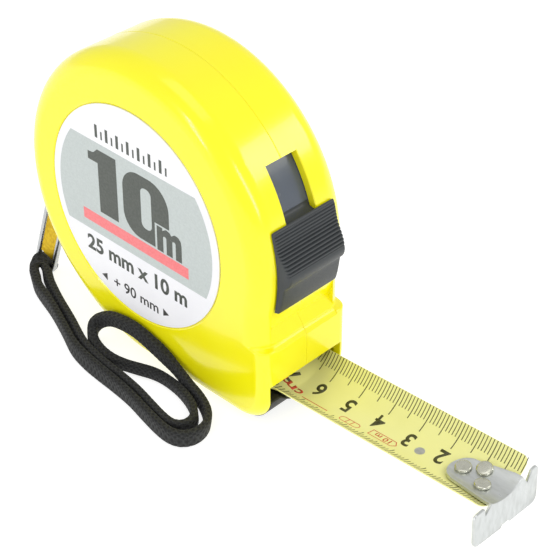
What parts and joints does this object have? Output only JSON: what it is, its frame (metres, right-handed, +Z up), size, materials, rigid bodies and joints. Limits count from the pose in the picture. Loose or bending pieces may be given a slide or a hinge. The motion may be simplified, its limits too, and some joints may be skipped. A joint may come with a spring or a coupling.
{
  "type": "pocket tape measure",
  "caption": "Round-backed yellow pocket tape measure with thumb lock, cupped blade, end hook and wrist strap.",
  "frame": {"origin": "on the surface it stands on, below the middle of the overall length from bail to hook, on the case's parting plane", "axes": "+X the way the blade leaves the case, +Z up, -Y the side the camera sees"},
  "size_m": [0.1644, 0.0519, 0.09],
  "materials": {
    "case_near": "glossy moulded",
    "case_far": "glossy moulded",
    "label_near": "printed foil",
    "label_far": "printed foil",
    "case_screw_1": "plain",
    "case_screw_2": "plain",
    "case_screw_3": "plain",
    "case_screw_4": "plain",
    "mouth_bumper": "matt",
    "thumb_button": "fine ribbed",
    "lock_strip": "satin",
    "brake_lever": "satin",
    "brake_pad": "matt",
    "lever_pin": "plain",
    "spool_drum": "satin",
    "blade_coil": "enamel",
    "return_spring": "plain",
    "axle_post": "satin",
    "blade": "enamel, printed",
    "end_hook": "satin",
    "hook_rivet_1": "polished",
    "hook_rivet_2": "polished",
    "hook_rivet_3": "polished",
    "bail_loop": "polished",
    "bail_pin": "plain",
    "wrist_strap": "braided"
  },
  "bodies": {
    "case": {"case_near": "case_near", "case_far": "case_far", "label_near": "label_near", "label_far": "label_far", "case_screw_1": "case_screw_1", "case_screw_2": "case_screw_2", "case_screw_3": "case_screw_3", "case_screw_4": "case_screw_4", "mouth_bumper": "mouth_bumper", "lever_pin": "lever_pin", "axle_post": "axle_post", "bail_pin": "bail_pin", "wrist_strap": "wrist_strap"},
    "spool": {"spool_drum": "spool_drum", "blade_coil": "blade_coil", "return_spring": "return_spring"},
    "blade": {"blade": "blade", "hook_rivet_1": "hook_rivet_1", "hook_rivet_2": "hook_rivet_2", "hook_rivet_3": "hook_rivet_3"},
    "hook": {"end_hook": "end_hook"},
    "lock": {"thumb_button": "thumb_button", "lock_strip": "lock_strip"},
    "brake": {"brake_lever": "brake_lever", "brake_pad": "brake_pad"},
    "bail": {"bail_loop": "bail_loop"}
  },
  "joints": [
    {"name": "spool_turn", "type": "hinge", "parent": "case", "child": "spool", "pos_m": [-0.0277, 0, 0.045], "axis": [0, 1, 0], "range_deg": [-7.3, 92.3]},
    {"name": "blade_slide", "type": "slide", "parent": "case", "child": "blade", "axis": [0.9992, 0, 0.0389], "range_m": [-0.05, 0.004]},
    {"name": "hook_float", "type": "slide", "parent": "blade", "child": "hook", "axis": [0.9992, 0, 0.0389], "range_m": [-0.0005, 0.0005]},
    {"name": "lock_slide", "type": "hinge", "parent": "case", "child": "lock", "pos_m": [-0.0277, 0, 0.045], "axis": [0, -1, 0], "range_deg": [0, 17]},
    {"name": "brake_lift", "type": "hinge", "parent": "case", "child": "brake", "pos_m": [-0.0007, 0, 0.018], "axis": [0, -1, 0], "range_deg": [0, 4.3]},
    {"name": "bail_swing", "type": "hinge", "parent": "case", "child": "bail", "pos_m": [-0.0683, -0.008, 0.0341], "axis": [0, 1, 0], "range_deg": [0, 80]}
  ],
  "couplings": [
    {"joint": "blade_slide", "follows": "spool_turn", "m_per_rad": -0.031},
    {"joint": "brake_lift", "follows": "lock_slide", "ratio": 0.25}
  ]
}
